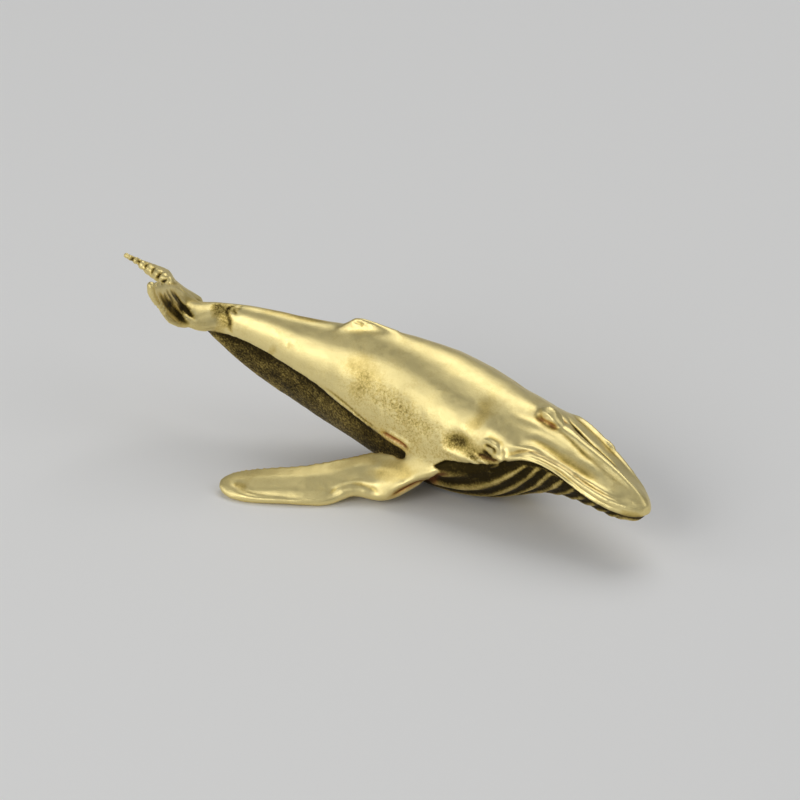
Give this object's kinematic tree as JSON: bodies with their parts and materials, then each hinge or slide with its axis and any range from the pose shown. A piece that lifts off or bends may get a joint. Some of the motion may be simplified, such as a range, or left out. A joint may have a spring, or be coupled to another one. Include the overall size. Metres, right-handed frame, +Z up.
{
  "type": "whale figurine",
  "caption": "Small solid brass humpback whale that rests on its belly and two swept-back flippers, with a pleated throat, a low dorsal fin and raised, twisted tail flukes.",
  "frame": {"origin": "on the small flat under the belly that the whale rests on", "axes": "+X towards the head, +Y towards the whale's left, +Z up"},
  "size_m": [0.0805, 0.0437, 0.0258],
  "materials": {
    "back": "satin cast brass, rubbed bright",
    "belly": "rough cast brass, tarnished",
    "flippers": "satin cast brass, rubbed bright",
    "flukes": "satin cast brass, darker in the hollows"
  },
  "bodies": {
    "root": {"back_casting": "back", "belly_casting": "belly", "right_flipper": "flippers", "left_flipper": "flippers", "tail_flukes": "flukes"}
  },
  "joints": []
}
